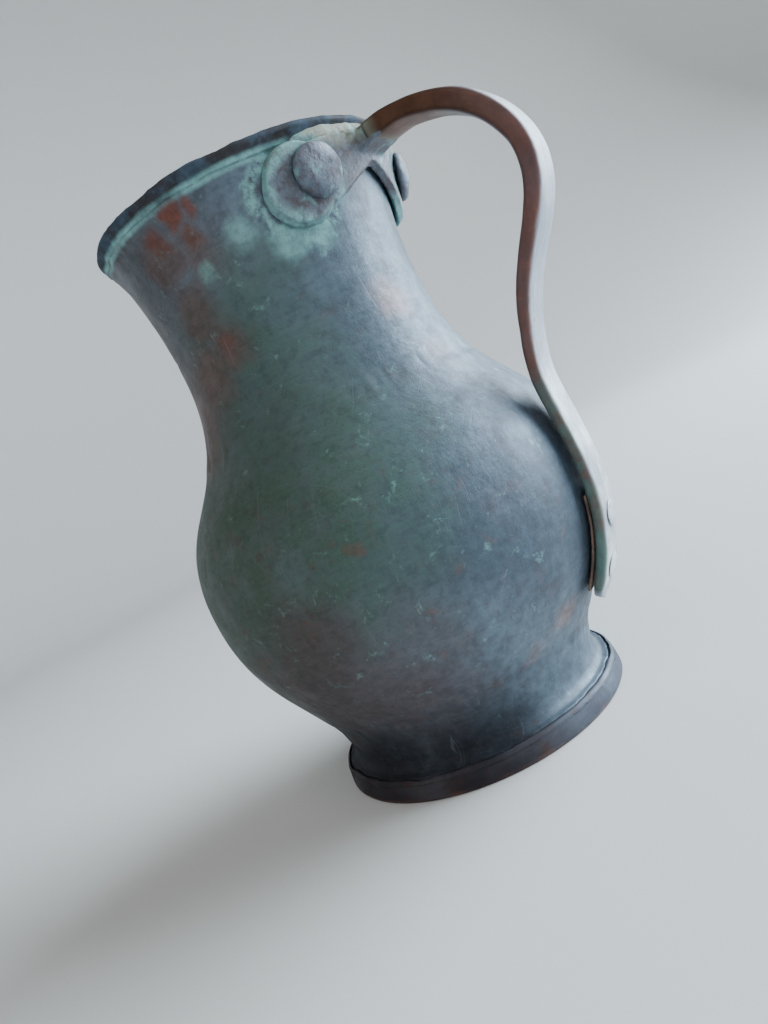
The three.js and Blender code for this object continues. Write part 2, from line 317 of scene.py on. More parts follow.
base = {
    "sheet": 1.2 * mm,
    "bend": 2.2 * mm,
    "lean": 0.8 * mm,
    "seam": 60.9 * mm,  # where the hem ends on the foot
    "stray": 0.8 * mm,
    "footEase": 1.7,
    "ragged": ((4.5, 1), (13, 0.5), (31, 0.4)),  # waves of the torn edge: scale, then height
    "torn": (6, 3, 0.25),  # scale, steps and height of the tears
    "gape": (9, 0.34, 0.3),  # scale, width and its spread in millimetres
    "seamFade": (0.4 * mm, 3 * mm),
    "seamLowest": 7.2 * mm,
    "onTop": 2e-5,  # this near to the top face of the foot counts as on it
    "steps": 288,
    "sway": 0.3 * mm,
    "blowSize": 6 * mm,
    "blowDepth": 0.2 * mm,
    "pressed": 0.15 * mm,
    "edgeFade": (2.2 * mm, 0.9 * mm),  # inward from the edge
}
vessel = {
    "neckRadius": 52.8 * mm,
    "neckDepth": 49.2 * mm,
    "lipRadius": 57.6 * mm,
    "lipDepth": 14 * mm,
    "bandDepth": 6 * mm,
    "bandStep": 0.8 * mm,
    "mouthRadius": 63.2 * mm,
    "bellyHeight": 90.7 * mm,
    "waistRadius": 54.3 * mm,
    "waistHeight": 12 * mm,
    "lower": (0.3, 0.39, 0.49, 34),  # how the curves of the wall are pulled, and their points
    "shoulder": (0.5, 0.36, 44),
    "throat": (0.35, 0.44, 0.69, 20),
    "easings": 40,
    "easedBelow": 24 * mm,
    "wall": 1.5 * mm,
    "steps": 288,
    "blowSize": 9 * mm,
    "blowDepth": 0.13 * mm,
    "sway": 0.6 * mm,  # broad unevenness of the beaten wall
    "swaySize": 38 * mm,
    "creaseDepth": 47.5 * mm,  # faint ring round the neck, below the rim
    "creaseStray": 1.2 * mm,
    "creaseHollow": 0.28 * mm,
    "creaseWidth": 1.3 * mm,
    "calmRim": 0.7,  # how much of the blows the rim band has lost
    "rimWave": 0.6 * mm,
    "rimStray": 0.35 * mm,
    "hemStray": 0.8 * mm,  # of the lower edge of the rim band
    "hemWidth": 0.8 * mm,
}
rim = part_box("body")[1].z
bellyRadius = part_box("body")[1].y
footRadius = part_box("base_plate")[1].y
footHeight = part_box("base_plate")[1].z


def wallLine():  # outside of the wall, from the waist to the foot of the rim band
    belly, v = bellyRadius, vessel
    waist = at(v["waistRadius"], v["waistHeight"])
    widest = at(belly, v["bellyHeight"])
    neck = at(v["neckRadius"], rim - v["neckDepth"])
    lip = at(v["lipRadius"], rim - v["lipDepth"])
    out, up, straight, count = v["lower"]
    lower = cubic(
        waist,
        at(mix(waist.x, belly, out), mix(waist.z, widest.z, up)),
        at(belly, mix(waist.z, widest.z, straight)),
        widest, count)
    full, slim, count = v["shoulder"]
    shoulder = cubic(
        widest,
        at(belly, mix(widest.z, neck.z, full)),
        at(neck.x, mix(widest.z, neck.z, slim)),
        neck, count)
    straight, out, up, count = v["throat"]
    throat = cubic(
        neck,
        at(neck.x, mix(neck.z, lip.z, straight)),
        at(mix(neck.x, lip.x, out), mix(neck.z, lip.z, up)),
        lip, count)
    band = at(mix(lip.x, v["mouthRadius"], 1 - v["bandDepth"] / v["lipDepth"]), rim - v["bandDepth"])
    flare = [lip.lerp(band, i / 6) for i in range(1, 7)]
    return lower + shoulder[1:] + throat[1:] + flare


def moved(line, distance):  # a line shifted to its left by a distance
    out = []
    for i, point in enumerate(line):
        run = (line[min(i + 1, len(line) - 1)] - line[max(i - 1, 0)]).normalized()
        out.append(Vector((point.x - run.z * distance, 0, point.z + run.x * distance)))
    return out


wallPoints = wallLine()


def wallAt(height):  # radius of the wall at a height, and the way it faces
    for low, high in zip(wallPoints, wallPoints[1:]):
        if high.z >= height:
            break
    run = (high - low).normalized()
    radius = mix(low.x, high.x, (height - low.z) / (high.z - low.z))
    return radius, Vector((run.z, 0, -run.x))


def footTop(radius):  # height of the upper face of the foot, the same for the body and for the hem
    bend = base["bend"]
    middle = footRadius - base["lean"] - bend
    if radius > middle:
        return footHeight - bend + math.sqrt(max(bend ** 2 - (radius - middle) ** 2, 0))
    share = min((middle - radius) / (middle - vessel["waistRadius"]), 1)
    return mix(footHeight, vessel["waistHeight"], share ** base["footEase"])


def seamShift(out):  # how far the torn edge of the hem strays from its circle, and its half width
    ragged = sum(high * noise.noise(out * scale) for scale, high in base["ragged"])
    scale, steps, high = base["torn"]
    torn = math.floor(steps * noise.noise(out * scale + Vector((2, 2, 0)))) * high
    scale, width, spread = base["gape"]
    gape = width + spread * noise.noise(out * scale + Vector((0, 5, 0)))
    return (ragged + torn) * base["stray"], gape * mm


def followSeam(bm, side):  # side is -1 on the body and 1 on the hem
    seam = base["seam"]
    for vert in bm.verts:
        reach = flatPart(vert.co).length
        near = 1 - smoothStep(*base["seamFade"], abs(reach - seam))
        if near == 0 or vert.co.z < base["seamLowest"]:
            continue
        out = flatPart(vert.co) / reach
        drop = footTop(reach) - vert.co.z
        if abs(drop) < base["onTop"]:
            drop = 0
        stray, gape = seamShift(out)
        newReach = reach + near * (stray + side * gape)
        vert.co = out * newReach + Vector((0, 0, footTop(newReach) - drop))


def makeVessel(outside, inside):
    v, line, seam = vessel, wallPoints, base["seam"]
    radii = [mix(seam - 0.3 * mm, v["waistRadius"], (i / 16) ** 1.2) for i in range(16)]
    spread = [at(r, footTop(r)) for r in radii]
    skirt = [
        at(seam + 0.8 * mm, 1.6 * mm),
        at(seam + 0.8 * mm, 6.6 * mm),
        at(seam + 0.1 * mm, 7.15 * mm),
        at(seam, footTop(seam) - 1.5 * mm),
        at(seam, footTop(seam) - 0.55 * mm),
        at(seam - 0.08 * mm, footTop(seam) - 0.22 * mm),
    ]
    foot = spread + line
    for _ in range(v["easings"]):  # the waist is a soft hollow
        low = sum(1 for p in foot if p.z < v["easedBelow"])
        eased = [b * 0.5 + (a + c) * 0.25 for a, b, c in zip(foot, foot[1:], foot[2:])]
        foot = foot[:8] + eased[7:low - 1] + foot[low:]
    outer = skirt + foot
    top = line[-1]
    step = v["bandStep"]
    band = [
        at(top.x + 0.5 * step, top.z - 0.05 * mm),
        at(top.x + step, top.z + 0.35 * mm),
        at(top.x + step + 0.25 * mm, top.z + 1.2 * mm),
        at(mix(top.x + step, v["mouthRadius"], 0.6), mix(top.z, rim, 0.55)),
        at(v["mouthRadius"] - 0.1 * mm, rim - 1.6 * mm),
        at(v["mouthRadius"] - 0.15 * mm, rim - 0.8 * mm),
        at(v["mouthRadius"] - 0.6 * mm, rim - 0.2 * mm),
        at(v["mouthRadius"] - 1.2 * mm, rim),
        at(v["mouthRadius"] - 1.9 * mm, rim - 0.25 * mm),
        at(v["mouthRadius"] - 2.3 * mm, rim - 0.9 * mm),
    ]
    inner = moved(foot[4:16:2] + foot[16::2], v["wall"])
    inner.reverse()
    inner += [at(skirt[0].x - v["wall"], 6.2 * mm), at(skirt[0].x - v["wall"], 1.6 * mm)]
    bm = spunRing(outer + band + inner, v["steps"])
    followSeam(bm, -1)
    rimStart = rim - v["bandDepth"]
    for vert in bm.verts:
        place = vert.co.copy()
        out = flatPart(place).normalized()
        grip = smoothStep(v["waistHeight"] - 3 * mm, v["waistHeight"] + 8 * mm, place.z)
        calm = 1 - v["calmRim"] * smoothStep(rimStart - 4 * mm, rimStart, place.z)
        push = hammerMark(place, v["blowSize"], v["blowDepth"]) * calm
        push += (noise.noise(place / v["swaySize"]) - 0.5) * v["sway"]
        crease = rim - v["creaseDepth"] + v["creaseStray"] * noise.noise(out * 1.7)
        push -= v["creaseHollow"] * math.exp(-((place.z - crease) / v["creaseWidth"]) ** 2)
        vert.co += out * push * grip
        lift = smoothStep(rimStart, rim, place.z)
        wave = v["rimWave"] * (noise.noise(out * 2.3 + Vector((5, 0, 0))) - 0.3)
        vert.co.z = min(vert.co.z + lift * wave, rim)
        vert.co += out * lift * v["rimStray"] * noise.noise(out * 9)
        edge = math.exp(-((place.z - rimStart) / v["hemWidth"]) ** 2)
        vert.co.z += edge * v["hemStray"] * noise.noise(out * 7 + Vector((0, 9, 0)))
    bm.normal_update()
    for face in bm.faces:
        middle = face.calc_center_median()
        facesIn = face.normal.dot(flatPart(middle)) < 0
        face.material_index = 1 if facesIn and middle.z < rim - 1 * mm else 0
    return addPiece("vessel", bm, [outside, inside], "vessel", "body")


def makeBase(finish):
    radius, top = footRadius, footHeight
    s, b, seam = base["sheet"], base["bend"], base["seam"]
    centre = at(radius - base["lean"] - b, top - b)
    last = math.acos((seam + 0.15 * mm - centre.x) / b)
    outerBend = [centre + at(b * math.cos(last * i / 12), b * math.sin(last * i / 12)) for i in range(13)]
    edge = [at(seam, footTop(seam) - 0.3 * mm), at(seam, footTop(seam) - 0.9 * mm),
            at(seam + 0.25 * mm, footTop(seam) - 1.15 * mm)]
    innerBend = [centre + at((b - s) * math.cos(a), (b - s) * math.sin(a)) for a in
                 [math.radians(50 - 50 * i / 5) for i in range(6)]]
    side = [at(mix(radius, centre.x + b, (i / 6) ** 1.6), mix(1.4 * mm, centre.z, i / 6))
            for i in range(6)]
    under = [at(radius * i / 12, 0) for i in range(1, 12)]
    corner = [at(radius - 1.4 * mm, 0), at(radius - 0.6 * mm, 0.15 * mm),
              at(radius - 0.12 * mm, 0.65 * mm)]
    floor = [at(radius - s - 0.1 * mm, s + 1 * mm), at(radius - s - 1 * mm, s)]
    floor += [at(radius * i / 12, s) for i in range(11, 0, -1)]
    bm = spunRing(under + corner + side + outerBend + edge + innerBend + floor, base["steps"])
    bmesh.ops.holes_fill(bm, edges=[e for e in bm.edges if e.is_boundary])
    followSeam(bm, 1)
    for vert in bm.verts:
        place = vert.co.copy()
        out = flatPart(place).normalized()
        reach = flatPart(place).length
        start, full = (radius - inward for inward in base["edgeFade"])
        grip = smoothStep(start, full, reach) * smoothStep(0, 2 * mm, place.z)
        push = base["sway"] * noise.noise(out * 4) + hammerMark(place, base["blowSize"], base["blowDepth"])
        vert.co += out * grip * (push - base["pressed"])
    return addPiece("base", bm, [finish], "base", "base_plate")


# ---- the handle

strap = {
    "width": 18 * mm,
    "rootThickness": 6.6 * mm,
    "crownThickness": 8 * mm,
    "tailThickness": 5 * mm,
    "reach": 33.8 * mm,
    "rootDepth": 9 * mm,
    "landing": 104 * mm,
    "steps": 200,
    "tailStand": 1.8 * mm,  # its inner face above the belly
    "sunk": 5 * mm,  # how far the root runs into the saddle
    "free": [(0, 1), (0.215, 0.996), (0.7, 0.922), (0.985, 0.772), (0.945, 0.626), (0.54, 0.401)],
    "landingRun": [(23 * mm, 7.6 * mm), (12 * mm, 2.4 * mm)],  # above the landing, and off the belly
    "easings": 60,
    "swell": (0, 0.18),  # shares of its length over which it gets thicker, then thinner
    "taper": (0.2, 0.6),
    "thinEnd": 0.7,
    "socket": (9 * mm, 0.14, 0.05),  # how it spreads at the saddle: run, thickness, width
    "waver": (21, 0.012),
    "corners": (0.42, 0.46),  # 1 would be an ellipse, 0 a box
    "crown": 0.06,
    "blowSize": 8 * mm,
    "blowDepth": 0.22 * mm,
    "sway": 0.2 * mm,
    "swaySize": 18 * mm,
}


def handlePath():
    s = strap
    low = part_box("handle")[0]
    root = at(low.x + 0.3 * mm, rim - s["rootDepth"])
    farthest = bellyRadius + s["reach"] - s["crownThickness"] / 2
    points = [at(mix(root.x, farthest, out), mix(s["landing"], root.z, up)) for out, up in s["free"]]
    stand = s["tailStand"] + s["tailThickness"] / 2
    for rise, off in s["landingRun"]:
        height = s["landing"] + rise
        points.append(at(wallAt(height)[0] + stand + off, height))
    for i in range(6):
        height = mix(s["landing"], low.z, i / 5)
        radius, outward = wallAt(height)
        points.append(at(radius, height) + outward * stand)
    return [root - at(s["sunk"], 0.4 * mm)] + points


def throughPoints(points, count):  # a smooth line through every point, evenly stepped
    ends = [points[0] * 2 - points[1]] + points + [points[-1] * 2 - points[-2]]
    fine = []
    for a, b, c, d in zip(ends, ends[1:], ends[2:], ends[3:]):
        for i in range(40):
            t = i / 40
            fine.append(0.5 * ((2 * b) + (c - a) * t + (2 * a - 5 * b + 4 * c - d) * t * t
                               + (3 * b - a - 3 * c + d) * t ** 3))
    fine.append(points[-1])
    lengths = [0]
    for a, b in zip(fine, fine[1:]):
        lengths.append(lengths[-1] + (b - a).length)
    even, i = [], 0
    for k in range(count + 1):
        target = lengths[-1] * k / count
        while i < len(fine) - 2 and lengths[i + 1] < target:
            i += 1
        share = (target - lengths[i]) / (lengths[i + 1] - lengths[i])
        even.append(fine[i].lerp(fine[i + 1], share))
    return even, lengths[-1]


def makeStrap(finish):
    s = strap
    line, length = throughPoints(handlePath(), s["steps"])
    for _ in range(s["easings"]):
        inside = [b * 0.5 + (a + c) * 0.25 for a, b, c in zip(line, line[1:], line[2:])]
        line = [line[0]] + inside + [line[-1]]
    half = s["width"] / 2

    def placed(i, c, w):  # a round-cornered bar section, a little crowned
        ahead = (line[min(i + 1, len(line) - 1)] - line[max(i - 1, 0)]).normalized()
        outward = Vector((-ahead.z, 0, ahead.x))
        share = i / (len(line) - 1)
        swollen = mix(s["rootThickness"], s["crownThickness"], smoothStep(*s["swell"], share))
        thick = mix(swollen, s["tailThickness"], smoothStep(*s["taper"], share)) / 2
        left = min(length * (1 - share) / half, 1)
        run, thicker, wider = s["socket"]
        socket = 1 - smoothStep(s["sunk"], s["sunk"] + run, length * share)
        thick *= mix(s["thinEnd"], 1, left) * (1 + thicker * socket)
        tapered = math.sqrt(max(1 - (1 - left) ** 2, 0.02))
        often, waver = s["waver"]
        wide = half * tapered * (1 + waver * math.sin(share * often) + wider * socket)
        y = math.copysign(abs(c) ** s["corners"][0], c)
        x = math.copysign(abs(w) ** s["corners"][1], w) * (1.04 - s["crown"] * y ** 2)
        return line[i] + outward * x * thick + Vector((0, y * wide, 0))

    bm = bmesh.new()
    sweep(bm, 40, len(line), placed)
    bm.normal_update()
    shiftAll(bm, lambda vert: vert.normal * (hammerMark(vert.co, s["blowSize"], s["blowDepth"])
                                             + s["sway"] * noise.noise(vert.co / s["swaySize"])))
    return addPiece("strap", bm, [finish], "bar", "handle")


# ---- pieces worked up from the solid of a node: edges worn round, faces beaten

def wornCopy(node, voxel, rounds):
    bm = bmesh.new()
    bm.from_mesh(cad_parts[node].data)
    bmesh.ops.remove_doubles(bm, verts=bm.verts, dist=1e-5)
    mesh = bpy.data.meshes.new(node + " start")
    bm.to_mesh(mesh)
    bm.free()
    start = bpy.data.objects.new(node + " start", mesh)
    bpy.context.scene.collection.objects.link(start)
    remesh = start.modifiers.new("voxels", "REMESH")
    remesh.mode = "VOXEL"
    remesh.voxel_size = voxel
    smooth = start.modifiers.new("worn", "SMOOTH")
    smooth.factor = 0.5
    smooth.iterations = rounds
    shaped = bpy.data.meshes.new_from_object(start.evaluated_get(bpy.context.evaluated_depsgraph_get()))
    bpy.data.objects.remove(start)
    bm = bmesh.new()
    bm.from_mesh(shaped)
    bm.normal_update()
    return bm


saddle = {
    "voxel": 0.55 * mm,
    "rounds": 8,
    "blowSize": 7 * mm,
    "blowDepth": 0.28 * mm,
    "fillet": 1.3 * mm,  # spread of the old solder along its edges
    "filletHeight": 3.4 * mm,
    "crustAngle": math.radians(34),
    "crustWidth": 2.0 * mm,
    "crustHeight": 3.3 * mm,
    "crustSteps": 90,
    "crustLow": 0.4 * mm,  # below the foot of the rim band
    "crustOut": 1.9 * mm,
    "crustGrain": (2.6 * mm, 0.5 * mm),
    "grain": (2.2 * mm, 0.1 * mm),
    "lug": (5 * mm, 7 * mm),  # what stands off the neck by more than this is the lug
    "earDepth": 19.5 * mm,
    "earAngle": math.radians(35),
}
packing = {"voxel": 0.4 * mm, "rounds": 4, "grain": (5 * mm, 0.12 * mm)}


def makeSaddle(finish):
    s = saddle
    bm = wornCopy("handle_bracket", s["voxel"], s["rounds"])

    def shaped(vert):
        place = vert.co
        out = flatPart(place).normalized()
        radius = wallAt(min(place.z, rim - 6.5 * mm))[0]
        stand = flatPart(place).length - radius
        sideways = vert.normal - out * vert.normal.dot(out)
        spread = 1 - smoothStep(0.3 * mm, s["filletHeight"], stand)
        lug = smoothStep(*s["lug"], stand)
        spread *= 0.8 + 0.5 * noise.noise(place / (15 * mm))
        move = sideways * s["fillet"] * max(spread, 0) * (1 - lug)
        if vert.normal.dot(out) < -0.5:  # the side against the neck stays as it is
            return Vector((0, 0, 0))
        size, height = s["grain"]
        dish = vert.normal * (hammerMark(place, s["blowSize"], s["blowDepth"])
                              + height * noise.noise(place / size))
        return move + dish

    shiftAll(bm, shaped)
    addCrust(bm)
    return addPiece("saddle", bm, [finish], "bracket", "handle_bracket")


def addCrust(bm):  # lime and old solder lying in the corner under the rim band
    s = saddle
    steps = s["crustSteps"]
    grainSize, grainHeight = s["crustGrain"]
    middleHeight = rim - vessel["bandDepth"] - s["crustLow"]
    radius = wallAt(middleHeight - 1 * mm)[0] + s["crustOut"]

    def placed(i, c, w):
        share = i / steps
        angle = mix(-s["crustAngle"], s["crustAngle"], share)
        out = Vector((math.cos(angle), math.sin(angle), 0))
        full = max(1 - (2 * share - 1) ** 4, 0.02) ** 0.5
        rough = full * (0.95 + 0.3 * noise.noise(out * 5) + 0.1 * noise.noise(out * 19))
        spot = out * (radius + s["crustWidth"] * rough * c)
        spot.z = middleHeight + s["crustHeight"] * rough * w
        return spot + out * grainHeight * noise.noise(spot / grainSize) * full

    sweep(bm, 14, steps + 1, placed)


def makePacking(finish):
    bm = wornCopy("tail_pad", packing["voxel"], packing["rounds"])
    size, height = packing["grain"]
    shiftAll(bm, lambda vert: vert.normal * height * noise.noise(vert.co / size))
    return addPiece("packing", bm, [finish], "pad", "tail_pad")


# ---- rivets

bigRivet = {
    "head": 9.2 * mm,
    "rise": 5 * mm,
    "stand": 4.2 * mm,  # from the wall to the piece under the head
    "lift": 0.9 * mm,
    "edge": 0.5 * mm,
    "shank": 3.2 * mm,
    "peen": 6 * mm,
    "inward": 2.3 * mm,
    "blow": 0.9 * mm,
    "angle": math.radians(29),
    "depth": 16.6 * mm,
}
smallRivet = {
    "head": 4.8 * mm,
    "rise": 0.45 * mm,
    "stand": 6.9 * mm,
    "lift": 0,
    "edge": 0.05 * mm,
    "shank": 2.4 * mm,
    "peen": 4.4 * mm,
    "inward": 2.1 * mm,
    "blow": 0.35 * mm,
    "heights": (70 * mm, 52.5 * mm),
}
rivetSteps = 56


def makeRivet(name, spec, place, direction, finish, slotName, node):
    stand, lift, head = spec["stand"], spec["lift"], spec["head"]
    edge = stand + lift + spec["edge"]
    dome = [at(head * math.cos(a), mix(edge, stand + spec["rise"], math.sin(a) ** 0.9))
            for a in [math.radians(90 * i / 12) for i in range(12)]]
    inner = -spec["inward"]
    line = [
        at(0, inner - 1.6 * mm),
        at(spec["peen"] * 0.7, inner - 1.4 * mm),
        at(spec["peen"], inner - 0.5 * mm),
        at(spec["peen"], inner),
        at(spec["shank"], inner),
        at(spec["shank"], stand),
        at(head * 0.55, stand),
        at(head, stand + lift),
        *dome,
        at(0, stand + spec["rise"]),
    ]
    bm = spunLine(line, rivetSteps)
    bmesh.ops.recalc_face_normals(bm, faces=bm.faces)
    seed = Vector((place.x * 90, place.y * 90, place.z * 90))
    for vert in bm.verts:
        if vert.co.z > stand + lift * 0.5:
            out = flatPart(vert.co)
            vert.co += out * 0.05 * noise.noise(out / head * 1.4 + seed)
            vert.co.z += spec["blow"] * (hammerMark(vert.co + seed * mm, 5 * mm, 1) - 0.1) * 0.6
    turn = direction.to_track_quat("Z", "Y").to_matrix().to_4x4()
    bmesh.ops.transform(bm, matrix=Matrix.Translation(place) @ turn, verts=bm.verts)
    return addPiece(name, bm, [finish], slotName, node)


def onWall(height, angle):  # a place on the wall, and the way it faces
    radius, outward = wallAt(height)
    turn = Matrix.Rotation(angle, 3, "Z")
    return turn @ at(radius, height), turn @ outward


# ---- finishes

patina = {
    "slate": (0.052, 0.076, 0.104, 1),
    "paleSlate": (0.105, 0.145, 0.185, 1),
    "teal": (0.060, 0.118, 0.098, 1),
    "deepTeal": (0.036, 0.076, 0.058, 1),
    "paleTeal": (0.18, 0.36, 0.36, 1),
    "brown": (0.105, 0.070, 0.064, 1),
    "purple": (0.082, 0.068, 0.082, 1),
    "copper": (0.145, 0.045, 0.028, 1),
    "rosy": (0.24, 0.17, 0.165, 1),
    # painted shade: near-black, for the foot and the seam corner
    "footShade": (0.014, 0.013, 0.016, 1),
    "lime": (0.22, 0.23, 0.185, 1),
    "umber": (0.034, 0.029, 0.03, 1),
    "paintedShade": (0.78, 0.61, 0.54, 1),  # painted shade: dark warm tint of the side away from the handle and the light
}
# where the colours of the vessel change: x, y, z and radius in millimetres, then strength
zones = {
    "teal": [(8, -78, 116, 66, 1), (-40, -66, 112, 70, 0.95), (14, -58, 165, 42, 0.75),
             (30, -66, 140, 34, 0.7), (26, -48, 196, 22, 0.6), (-60, 20, 110, 66, 0.8),
             (20, 80, 96, 52, 0.8), (-30, 42, 180, 40, 0.6)],
    "brown": [(5, -53, 182, 11, 0.8), (-12, -52, 176, 15, 0.8), (-32, -44, 162, 24, 0.85),
              (-2, -54, 196, 12, 0.7), (-40, -30, 200, 22, 0.5), (-30, 45, 170, 24, 0.7),
              (10, -56, 214, 12, 0.7), (-4, -57, 218, 12, 0.7)],
    "purple": [(20, -71, 49, 30, 0.75), (5, -81, 65, 30, 0.7), (42, -70, 62, 22, 0.5),
               (-50, -50, 45, 30, 0.7), (-40, 60, 50, 34, 0.7), (30, -60, 30, 24, 0.6),
               (-10, -78, 60, 30, 0.6)],
    "copper": [(10, -58, 228, 5, 0.95), (17, -56, 227, 4, 0.8), (-1, -58, 226, 6, 0.75),
               (12, -54, 219, 5, 0.6), (34, -77, 101, 3, 0.4), (5, -53, 185, 5, 0.5),
               (-40, 40, 222, 9, 0.8), (-60, -10, 60, 8, 0.5)],
    # painted shade: dark patches about the foot
    "footShade": [(-14, -60, 9, 46, 0.85), (30, -54, 8, 40, 0.85), (-50, -40, 8, 36, 0.8),
             (-30, 52, 8, 34, 0.6)],
    "rosy": [(52, -15, 172, 10, 0.55), (66, -22, 42, 8, 0.6), (60, -12, 150, 8, 0.3),
             (58, -34, 34, 7, 0.4)],
    "paleTeal": [(9, -53, 206, 4.5, 0.6), (-40, 35, 205, 6, 0.8), (38, -40, 204, 8, 0.8),
                 (46, -30, 203, 8, 0.9), (27, -47, 212, 6, 0.7), (46, 30, 203, 8, 0.8),
                 (38, 40, 204, 8, 0.7)],
    # painted shade on the hem of the base
    "hemShade": [(-16, -62, 4, 44, 0.3), (34, -54, 4, 34, 0.4)],
}
most = (0.3, 0.7)  # nearly the whole range of a cloud


def toned(tree, color, tone):  # a colour made lighter or darker by a value
    shade = tree.nodes.new("ShaderNodeCombineXYZ")
    for socket in shade.inputs:
        feed(tree, socket, tone)
    return overlay(tree, 1.0, color, shade.outputs[0], "MULTIPLY")


# In the settings of a finish, a cloud is (scale, detail, roughness), a span is what between() takes
# after its value, and each relief is a height in metres.
vesselLook = {
    "ragged": (75, 0.016),
    "loose": (30, 0.045),
    "broad": (16, 6, 0.6),
    "medium": (75, 8, 0.68),
    "fine": (260, 6, 0.7),
    "grain": (900, 4, 0.7),
    "fibreBend": (18, 0.012),
    "fibreScale": (75, 75, 900),
    "fibre": (1.0, 4, 0.6),
    "paleSlate": (0.36, 0.66),
    "purple": (0.5, 0.7, 0, 0.55),
    "teal": (0.34, 0.6, 0.6, 1),
    "deepTeal": (0.5, 0.66, 0, 0.75),
    "lowDown": (30 * mm, 160 * mm, 1, 0.35),
    "russetCloud": (105, 7, 0.7),
    "russet": (0.56, 0.68, 0, 0.75),
    "reddishCloud": (190, 6, 0.7),
    "reddish": (0.62, 0.72, 0, 0.8),
    "frostCloud": (150, 7, 0.72),
    "frost": (0.58, 0.7, 0, 0.55),
    "earRing": (11, 13.5, 21),
    "earFrost": (0.36, 0.6),
    # span of the painted shade across the jug
    "paintedShade": (-55 * mm, 20 * mm),
    "band": (-0.6 * mm, 0.8 * mm, 0, 0.92),  # heights from the foot of the rim band
    "bandMix": (0.4, 0.6),
    "lineFoot": (-2.2 * mm, -0.4 * mm),
    "lineTop": (0.6 * mm, 2.4 * mm, 1, 0),
    "lineCloud": (48, 6),
    "line": (0.36, 0.6),
    # painted shade at the foot fades out upwards between these heights
    "footShadeHeight": (12 * mm, 45 * mm, 1, 0),
    "fibreTone": (0.94, 1.06),
    "fineTone": (0.78, 1.22),
    "scratchBend": (25, 0.006),
    "scratchLine": (1.0, 2, 0.5),
    "scratchCloud": (33, 3),
    "scratchKept": (0.48, 0.62),
    "scratch": (0.66, 0.72),
    "scratchWays": [((30, 1100, 30), (0.5, 0.3, 0.9)), ((1300, 25, 25), (0.2, 0.9, 0.3))],
    "scratchShare": 0.3,
    "roughness": (0.40, 0.6),
    "tealRougher": 0.12,
    "dullRougher": 0.25,
    "specular": (0, 0.9, 0.5, 0.1),
    "metallic": (0, 0.9, 0.3, 0.05),
    "blows": 125,
    "relief": (0.00016, 0.0004, 0.00003, 0.00012, 0.00006, -0.00004),
}


def toolsFor(tree, where, look):  # the same nodes, by the names of their settings
    def mist(key, place=where):
        return cloud(tree, place, *look[key])

    def step(value, key):
        return between(tree, value, *look[key])

    def across(value, key):
        return between(tree, value, *most, *look[key])

    return mist, step, across


def surface(tree, shader, color, rough, metallic, specular=0.5):
    for name, value in (("Base Color", color), ("Roughness", rough), ("Metallic", metallic),
                        ("Specular IOR Level", specular)):
        feed(tree, shader.inputs[name], value)


def scratched(tree, where, scale, turn):  # thin lines, all running much the same way
    look = vesselLook
    mist, step, _ = toolsFor(tree, where, look)
    bent = wandering(tree, where, *look["scratchBend"])
    lines = cloud(tree, stretched(tree, bent, scale, turn), *look["scratchLine"])
    kept = step(mist("scratchCloud"), "scratchKept")
    return times(tree, step(lines, "scratch"), kept)


def fromLine(line, span):  # a span of heights moved up to a line
    return (line + span[0], line + span[1], *span[2:])


